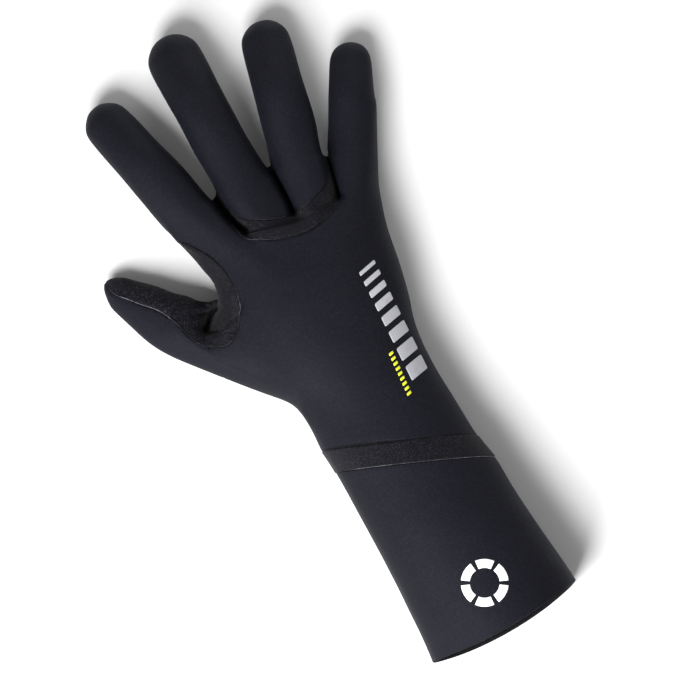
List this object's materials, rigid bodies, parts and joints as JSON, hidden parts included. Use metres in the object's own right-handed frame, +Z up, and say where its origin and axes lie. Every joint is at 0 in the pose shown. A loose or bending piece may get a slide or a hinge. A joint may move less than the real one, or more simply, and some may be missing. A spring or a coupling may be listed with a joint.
{
  "type": "thermal glove",
  "caption": "Long-cuffed foamed-rubber water-sports glove for the right hand, dark grey, with textured knit bands at the wrist, thumb and finger clefts.",
  "frame": {"origin": "middle of the glove's footprint, on the surface it lies on", "axes": "+Y from the cuff's mouth to the fingertips, +Z up out of the back of the hand, +X to the little finger's side"},
  "size_m": [0.1806, 0.354, 0.056],
  "materials": {
    "neoprene": "smooth knit face on foamed rubber",
    "knit": "rough flecked knit",
    "lining": "soft brushed lining",
    "seam_glue": "satin",
    "print_grey": "matte",
    "print_yellow": "matte",
    "print_white": "matte"
  },
  "bodies": {
    "root": {"cuff": "neoprene", "wrist_band": "knit", "hand_back": "neoprene", "hand_palm": "neoprene", "thumb_palm": "neoprene", "finger_gusset": "knit", "middle_ring_back": "neoprene", "middle_ring_palm": "neoprene", "thumb_gusset": "knit"}
  },
  "joints": []
}
